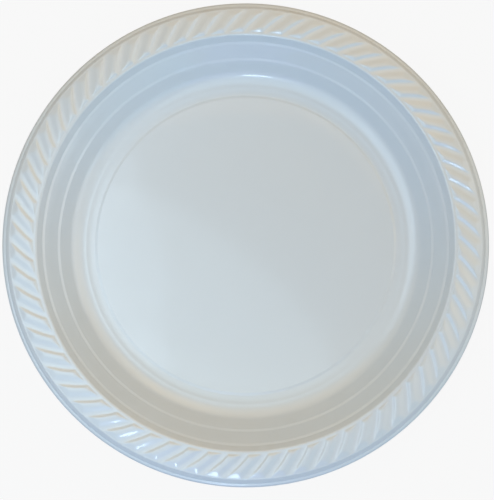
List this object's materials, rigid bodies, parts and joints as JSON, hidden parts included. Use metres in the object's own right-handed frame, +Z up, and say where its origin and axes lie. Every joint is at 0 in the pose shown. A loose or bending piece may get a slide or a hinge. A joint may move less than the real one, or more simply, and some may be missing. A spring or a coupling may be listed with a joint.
{
  "type": "plastic plate",
  "caption": "Round disposable dinner plate formed from thin glossy white plastic, with a sloping ribbed rim, a stepped lip and a flat floor.",
  "frame": {"origin": "centre of the plate on the plane that it rests on", "axes": "+Z up along the plate's axis; the ribs repeat around it, and +X crosses the rim near the middle of a rib"},
  "size_m": [0.22, 0.22, 0.0209],
  "materials": {
    "polystyrene": "thin glossy white sheet, slightly translucent"
  },
  "bodies": {
    "root": {"plate": "polystyrene"}
  },
  "joints": []
}
